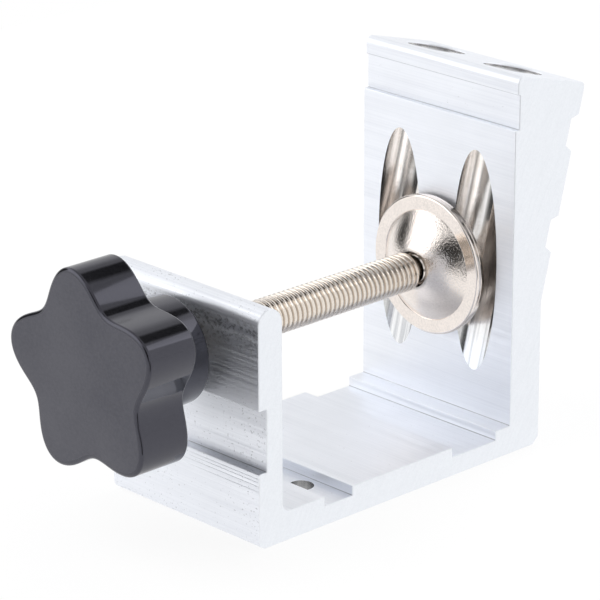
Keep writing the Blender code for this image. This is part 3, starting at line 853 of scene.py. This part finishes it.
def threaded(bm, start, end, pitch, root, depth, ends):
    """Add a helical thread about Z, from start to end, its height drawn in to the radius ends there."""
    crest_to_root = (CREST_POINT, CREST_END, ROOT_START)
    shares = (0.0, *crest_to_root, *(1 - share for share in reversed(crest_to_root)))
    turns = math.ceil((end - start) / pitch) + 2
    last = turns * SCREW_STEPS
    rows = []
    for i in range(last + 1):
        turn = math.tau * i / SCREW_STEPS
        row = []
        for share in shares:
            along = min(end, max(start, start + pitch * (i / SCREW_STEPS - 1.5 + share)))
            nearest = min(along - start, end - along)
            radius = min(root + depth * thread_height(share), ends + nearest)
            row.append(bm.verts.new((radius * math.cos(turn), radius * math.sin(turn), along)))
        rows.append(row)
    for i in range(last):
        strips = list(zip(rows[i], rows[i + 1]))
        if i + SCREW_STEPS < last:
            strips.append((rows[i + SCREW_STEPS][0], rows[i + 1 + SCREW_STEPS][0]))
        for lower, upper in zip(strips, strips[1:]):
            bm.faces.new((*lower, *reversed(upper)))


class JIG_OT_extruded_body(bpy.types.Operator):
    """Draw the extrusion, saw it, bore the guides and tap the hole for the screw"""
    bl_idname = "jig.extruded_body"
    bl_label = "Extruded body"

    def execute(self, context):
        body = context.scene.jig_body
        colours = context.scene.jig_colours
        mesh = cut_away(extruded_mesh(body), body_cutters(body, context.scene.jig_screw))
        finish_body_faces(mesh, body)
        # Paint shade into the inner corners and under the ledges.
        mark_dirt(mesh, body)
        smooth(mesh)
        finishes = {
            DRAWN: made_once(drawn_aluminium, "drawn_aluminium", colours.aluminium, body),
            SAWN: made_once(sawn_aluminium, "sawn_aluminium", colours.sawn),
            REAMED: made_once(reamed_bore, "reamed_bore", colours.bore, body),
        }
        place_piece("extruded_body", mesh, finishes.values(), "frame", "jig_body",
                    Matrix())
        return {"FINISHED"}


class JIG_OT_guide_sleeves(bpy.types.Operator):
    """Press a hard sleeve into the upper end of each guide"""
    bl_idname = "jig.guide_sleeves"
    bl_label = "Guide sleeves"

    def execute(self, context):
        body = context.scene.jig_body
        steel = made_once(turned_metal, "ground_steel", context.scene.jig_colours.steel, gloss=0.16)
        outer = body.guide_bore / 2 - FIT_GAP
        inner = body.sleeve_bore / 2
        bottom = -body.sleeve_length
        cut = body.sleeve_chamfer
        eased = 0.3 * cut
        profile = [
            (inner, -cut), (inner + eased, -eased), (inner + cut, 0),
            (outer - cut, 0), (outer - eased, -eased), (outer, -cut),
            (outer, bottom + cut), (outer - cut, bottom),
            (inner + cut, bottom), (inner, bottom + cut),
        ]
        for side, name in ((-1, "left"), (1, "right")):
            node = "guide_sleeve_" + name
            mesh = turned_mesh(node, profile, closed=True)
            place = guide_matrix(body, side, body.guide_reach - body.sleeve_depth)
            place_piece("sleeve_" + name, mesh, [steel], "frame", node, place)
        return {"FINISHED"}


class JIG_OT_clamp_screw(bpy.types.Operator):
    """Cut the screw's thread, neck and spigot"""
    bl_idname = "jig.clamp_screw"
    bl_label = "Clamp screw"

    def execute(self, context):
        screw = context.scene.jig_screw
        radius = screw.diameter / 2
        root = radius - screw.thread_depth
        neck = screw.neck / 2
        spigot = screw.spigot / 2
        cut = screw.spigot_chamfer
        spigot_end = SCREW_HIGH.y
        neck_end = spigot_end - screw.spigot_length - FIT_GAP
        thread_end = neck_end - screw.neck_length
        front = [
            (0, spigot_end), (spigot - cut, spigot_end), (spigot, spigot_end - cut), (spigot, neck_end),
            (neck - FINE_CUT, neck_end), (neck, neck_end - FINE_CUT), (neck, thread_end),
        ]
        bm = bmesh.new()
        threaded(bm, SCREW_LOW.y, thread_end, screw.pitch, root, screw.thread_depth, neck)
        turned(bm, front, SCREW_STEPS)
        turned(bm, [(neck, SCREW_LOW.y), (0, SCREW_LOW.y)], SCREW_STEPS)
        mesh = smooth(new_mesh("clamp_screw", bm))
        # The thread's colour is darker towards its roots.
        nickel = made_once(nickel_plate, "nickel_thread", context.scene.jig_colours.thread,
                           gloss=0.11, peel=0.2, dirt=(root, radius, 0.62))
        place_piece("threaded_screw", mesh, [nickel], "screw", "clamp_screw", along_screw())
        return {"FINISHED"}


class JIG_OT_swivel_pad(bpy.types.Operator):
    """Turn the ball and press the pad's dome and face plate"""
    bl_idname = "jig.swivel_pad"
    bl_label = "Swivel pad"

    def execute(self, context):
        pad = context.scene.jig_pad
        colour = context.scene.jig_colours.nickel
        mouth = pad.mouth / 2
        sheet = made_once(nickel_plate, "nickel_sheet", colour, gloss=0.15, peel=0.15)
        # The dome is darkened round its mouth: painted shade where it meets the screw's neck.
        dome = made_once(nickel_plate, "nickel_dome", colour, gloss=0.13, peel=0.9,
                         dirt=(mouth, mouth + pad.mouth_dirt, 0.4), grained=pad.dome_base / 2)
        self.make_ball(context.scene.jig_screw, sheet)
        self.make_dome(pad, dome)
        self.make_plate(pad, sheet)
        return {"FINISHED"}

    def make_ball(self, screw, nickel):
        """The ball, flat in front, with a collar and a bore for the screw's spigot."""
        flat = BALL_HIGH.y
        collar = BALL_LOW.y
        centre = collar + math.sqrt(BALL_RADIUS ** 2 - (screw.neck / 2) ** 2)
        bore = screw.spigot / 2 + FIT_GAP
        bottom = SCREW_HIGH.y + FIT_GAP
        start, end = (math.asin((place - centre) / BALL_RADIUS) for place in (flat, collar))
        flank = arc((0, centre), BALL_RADIUS, start, end)
        profile = [(0, flat), *flank, (bore, collar), (bore, bottom), (0, bottom)]
        mesh = turned_mesh("swivel_ball", profile)
        place_piece("ball_end", mesh, [nickel], "swivel", "swivel_ball", along_screw())

    def make_dome(self, pad, nickel):
        """The dome, creased where it meets its flange, whose rim is turned over the face plate."""
        rim_end = DOME_HIGH.y
        foot = PLATE_LOW.y - pad.sheet_gap
        top = foot - pad.dome_sheet
        mouth = pad.mouth / 2
        base = pad.dome_base / 2
        rise = top - DOME_LOW.y
        depth = (base ** 2 - mouth ** 2 - rise ** 2) / (2 * rise)
        centre = top + depth
        outer = math.hypot(base, depth)
        inner = outer - pad.dome_sheet
        inner_rim = DOME_RADIUS - pad.dome_sheet
        inner_base = math.sqrt(inner ** 2 - (centre - foot) ** 2)
        rim = pad.rim_round
        profile = [
            *self.dome_arc(centre, inner, mouth, inner_base),
            (inner_rim, foot),
            (inner_rim, rim_end),
            (DOME_RADIUS - FINE_CUT, rim_end),
            (DOME_RADIUS, rim_end - FINE_CUT),
            *arc((DOME_RADIUS - rim, top + rim), rim, 0, -math.pi / 2),
            (base + 2 * pad.crease, top),
            (base + pad.crease, top + pad.crease),
            *self.dome_arc(centre, outer, base, mouth),
        ]
        mesh = turned_mesh("pad_dome", profile, closed=True)
        place_piece("pressed_dome", mesh, [nickel], "pad", "pad_dome", along_screw())

    def dome_arc(self, centre, radius, from_radius, to_radius):
        """Part of the dome's section, between two distances from its axis."""
        return arc((0, centre), radius, -math.acos(from_radius / radius), -math.acos(to_radius / radius))

    def make_plate(self, pad, nickel):
        """The face plate, with a shoulder inside the dome's rim and a pocket for the ball."""
        face = PLATE_HIGH.y
        edge_back = DOME_HIGH.y + pad.sheet_gap
        shoulder = DOME_RADIUS - pad.dome_sheet - pad.sheet_gap
        pocket = BALL_RADIUS + FIT_GAP
        edge = pad.plate_round
        profile = [
            (0, face),
            *arc((PLATE_RADIUS - edge, face - edge), edge, math.pi / 2, 0),
            (PLATE_RADIUS, edge_back + FINE_CUT),
            (PLATE_RADIUS - FINE_CUT, edge_back),
            (shoulder, edge_back),
            (shoulder, PLATE_LOW.y),
            (pocket, PLATE_LOW.y),
            (pocket, face - pad.sheet),
            (0, face - pad.sheet),
        ]
        mesh = turned_mesh("pad_plate", profile)
        place_piece("face_plate", mesh, [nickel], "pad", "pad_plate", along_screw())


class JIG_OT_star_knob(bpy.types.Operator):
    """Mould the star knob round its threaded insert"""
    bl_idname = "jig.star_knob"
    bl_label = "Star knob"

    def execute(self, context):
        knob = context.scene.jig_knob
        colours = context.scene.jig_colours
        black = (colours.plastic, colours.plastic_gloss)
        finishes = {
            POLISHED: made_once(moulded_plastic, "polished_plastic", *black,
                                index=1.75, dull=0.1, shiny=0.06, dust=0.004),
            SATIN: made_once(moulded_plastic, "satin_plastic", *black,
                             index=1.84, dull=0.38, shiny=0.3, dust=0.018),
        }
        mesh = self.knob_mesh(knob)
        place_piece("moulded_knob", mesh, finishes.values(), "screw", "star_knob",
                    along_screw())
        self.make_insert(context.scene.jig_screw, knob, colours)
        return {"FINISHED"}

    def star(self, knob, sunk):
        """The lobed outline, moved in by a distance along its own normal."""
        count = knob.lobes * LOBE_STEPS
        middle = (knob.diameter - knob.lobe_depth) / 2
        swing = knob.lobe_depth / 2
        points = []
        for i in range(count):
            turn = math.tau * i / count
            phase = knob.lobes * (turn + knob.clocking)
            radius = middle + swing * math.cos(phase)
            slope = -swing * knob.lobes * math.sin(phase)
            outwards = Vector((radius, -slope)).normalized()
            radial = Vector((math.cos(turn), math.sin(turn)))
            around = Vector((-radial.y, radial.x))
            points.append(radial * (radius - sunk * outwards.x) - around * (sunk * outwards.y))
        return points

    def knob_mesh(self, knob):
        """Rings from the crowned front face, round both rims, down the hub and into the insert's seat."""
        front = KNOB_LOW.y
        back = front + knob.head
        edge = knob.rim_round
        face = self.star(knob, edge)
        rings = [([point * share for point in face], front + knob.crown * share ** 2) for share in FACE_RINGS]
        quarter = [math.pi / 2 * (i + 1) / RIM_STEPS for i in range(RIM_STEPS)]
        rims = [(1 - math.sin(turn), front + knob.crown + (edge - knob.crown) * (1 - math.cos(turn)))
                for turn in quarter]
        rims += [(1 - math.cos(turn), back - edge * (1 - math.sin(turn))) for turn in quarter]
        rings += [(self.star(knob, edge * share), along) for share, along in rims]
        rings += [(circle(radius, len(face)), along) for radius, along in self.hub_profile(knob, back)]
        bm = bmesh.new()
        made = [[bm.verts.new((*point, along)) for point in ring] for ring, along in rings]
        for row, (first, second) in enumerate(zip(made, made[1:])):
            for i in range(len(face)):
                side = bm.faces.new((first[i - 1], first[i], second[i], second[i - 1]))
                side.material_index = SATIN if row < len(FACE_RINGS) - 1 else POLISHED
        bm.faces.new(made[0]).material_index = SATIN
        bm.faces.new(made[-1])
        return smooth(new_mesh("star_knob", bm))

    def hub_profile(self, knob, back):
        """The hub (radius, along), from its fillet on the head to the blind end of its bore."""
        end = KNOB_HIGH.y
        root = knob.hub_root / 2
        tip = knob.hub / 2
        core = knob.core / 2
        fillet = knob.hub_fillet
        edge = knob.hub_round
        cut = knob.seat_chamfer
        seat = INSERT_RADIUS + FIT_GAP
        return [
            (root + 2.4 * fillet, back),
            *arc((root + fillet, back + fillet), fillet, -math.pi / 2, -math.pi, FILLET_STEPS),
            *arc((tip - edge, end - edge), edge, 0, math.pi / 2),
            (seat + cut, end),
            (seat, end - cut),
            (seat, INSERT_LOW.y - FIT_GAP),
            (core, INSERT_LOW.y - FIT_GAP),
            (core, SCREW_LOW.y - FIT_GAP),
            (core / 2, SCREW_LOW.y - FIT_GAP),
        ]

    def make_insert(self, screw, knob, colours):
        """The threaded insert, chamfered where the screw goes in."""
        inner = screw.diameter / 2 + FIT_GAP
        top = INSERT_HIGH.y
        bottom = INSERT_LOW.y
        cut = knob.insert_chamfer
        profile = [
            (inner + cut, top), (INSERT_RADIUS - cut, top), (INSERT_RADIUS, top - cut),
            (INSERT_RADIUS, bottom), (inner, bottom), (inner, top - cut),
        ]
        mesh = turned_mesh("knob_insert", profile, closed=True)
        zinc = made_once(turned_metal, "turned_zinc", colours.zinc, gloss=0.32)
        place_piece("threaded_insert", mesh, [zinc], "screw", "knob_insert", along_screw())


class JIG_OT_stage(bpy.types.Operator):
    """Set the floor, the light and the camera"""
    bl_idname = "jig.stage"
    bl_label = "Stage"

    def execute(self, context):
        stage = context.scene.jig_stage
        context.scene.view_settings.view_transform = "Standard"
        context.scene.camera = self.make_camera(stage)
        self.make_floor(stage)
        context.scene.world = self.make_world()
        for lamp in LAMPS:
            self.make_lamp(*lamp)
        return {"FINISHED"}

    def make_camera(self, stage):
        """The camera, looking along its own azimuth and elevation."""
        data = bpy.data.cameras.new("camera")
        data.sensor_width = 36.0
        data.lens = stage.lens
        data.clip_start = 0.01
        flat = math.cos(stage.elevation)
        ahead = -math.cos(stage.azimuth) * flat
        back = Vector((math.sin(stage.azimuth) * flat, ahead, math.sin(stage.elevation)))
        right = Vector(UP).cross(back).normalized()
        look = Matrix((right, back.cross(right), back)).transposed().to_4x4()
        roll = Matrix.Rotation(-stage.roll, 4, "Z")
        return add_object("camera", data, Matrix.Translation(stage.eye) @ look @ roll)

    def make_floor(self, stage):
        """A pale floor that takes the jig's shadow, and looks near white to the camera and in metal."""
        mesh = bpy.data.meshes.new("floor")
        mesh.from_pydata([(*corner, 0) for corner in FLOOR_CORNERS], [], [range(len(FLOOR_CORNERS))])
        material = bpy.data.materials.new("pale_floor")
        mesh.materials.append(material)
        nodes = Nodes(material)
        nodes.tree.nodes.clear()
        path = nodes.add("LightPath").outputs
        sees = nodes.combine("MAXIMUM", path["Is Camera Ray"], path["Is Glossy Ray"])
        sees = nodes.combine("MAXIMUM", sees, path["Is Transmission Ray"])
        matte = nodes.add("BsdfDiffuse", {"Color": (*stage.floor, 1.0)}).outputs[0]
        bright = nodes.add("Emission", {"Color": WHITE, "Strength": 1.0}).outputs[0]
        share = nodes.combine("MULTIPLY", sees, FLOOR_GLOW)
        mixed = nodes.add("MixShader", {0: share, 1: matte, 2: bright}).outputs[0]
        nodes.add("OutputMaterial", {"Surface": mixed})
        floor = add_object("floor", mesh, Matrix.Translation((0, 0, BODY_LOW.z - FLOOR_GAP)))

    def make_world(self):
        """White to the camera, soft light on matte faces, and a patchy room for bright metal to mirror."""
        world = bpy.data.worlds.new("studio")
        nodes = Nodes(world)
        nodes.tree.nodes.clear()
        path = nodes.add("LightPath").outputs
        sees = nodes.combine("MAXIMUM", path["Is Camera Ray"], path["Is Transmission Ray"])
        direction = nodes.add("TexCoord").outputs["Generated"]
        level = nodes.spread(nodes.along(direction, UP), CEILING_SLOPES, 1.0, CEILING_LIGHT)
        for middle, edge, inside, gain in ROOM_PATCHES:
            aim = tuple(Vector(middle).normalized())
            patch = nodes.spread(nodes.along(direction, aim), (edge, inside))
            level = nodes.combine("MULTIPLY", level, nodes.combine("MULTIPLY_ADD", patch, gain, 1.0))
        mirrored, white, soft = (
            nodes.add("Background", {"Color": WHITE, "Strength": strength}).outputs[0]
            for strength in (level, 1.0, ROOM_LIGHT)
        )
        lights = nodes.add("MixShader", {0: path["Is Glossy Ray"], 1: soft, 2: mirrored}).outputs[0]
        seen = nodes.add("MixShader", {0: sees, 1: lights, 2: white}).outputs[0]
        nodes.add("OutputWorld", {"Surface": seen})
        return world

    def make_lamp(self, name, place, width, height, power, mirrored):
        """A soft lamp or card that faces the jig."""
        data = bpy.data.lights.new(name, "AREA")
        data.shape = "RECTANGLE"
        data.size = width
        data.size_y = height
        data.energy = power
        turn = (LAMP_AIM - Vector(place)).to_track_quat("-Z", "Y").to_matrix().to_4x4()
        lamp = add_object(name, data, Matrix.Translation(place) @ turn)
        lamp.visible_camera = False
        lamp.visible_glossy = mirrored


class JIG_PT_pieces(bpy.types.Panel):
    """Lists the jig's pieces, sizes and colours"""
    bl_idname = "JIG_PT_pieces"
    bl_label = "Pocket-hole jig"
    bl_space_type = "VIEW_3D"
    bl_region_type = "UI"
    bl_category = "Jig"

    def draw(self, context):
        layout = self.layout
        for operator in OPERATORS:
            layout.operator(operator.bl_idname)
        for name, group in GROUPS.items():
            box = layout.box()
            box.label(text=group.__doc__)
            settings = getattr(context.scene, name)
            for key in group.__annotations__:
                box.prop(settings, key)


GROUPS = {
    "jig_body": BodySizes,
    "jig_screw": ScrewSizes,
    "jig_knob": KnobSizes,
    "jig_pad": PadSizes,
    "jig_colours": FinishColours,
    "jig_stage": StageSettings,
}
OPERATORS = (
    JIG_OT_stage,
    JIG_OT_extruded_body,
    JIG_OT_guide_sleeves,
    JIG_OT_clamp_screw,
    JIG_OT_swivel_pad,
    JIG_OT_star_knob,
)


def register():
    """Register the settings, the operators and the panel."""
    for name, group in GROUPS.items():
        bpy.utils.register_class(group)
        setattr(bpy.types.Scene, name, PointerProperty(type=group))
    for operator in OPERATORS:
        bpy.utils.register_class(operator)
    bpy.utils.register_class(JIG_PT_pieces)


def unregister():
    """Take everything out again."""
    bpy.utils.unregister_class(JIG_PT_pieces)
    for operator in reversed(OPERATORS):
        bpy.utils.unregister_class(operator)
    for name, group in reversed(GROUPS.items()):
        delattr(bpy.types.Scene, name)
        bpy.utils.unregister_class(group)


def main():
    """Build the stage and every piece."""
    register()
    bpy.ops.jig.stage()
    bpy.ops.jig.extruded_body()
    bpy.ops.jig.guide_sleeves()
    bpy.ops.jig.clamp_screw()
    bpy.ops.jig.swivel_pad()
    bpy.ops.jig.star_knob()


if __name__ == "__main__":
    main()
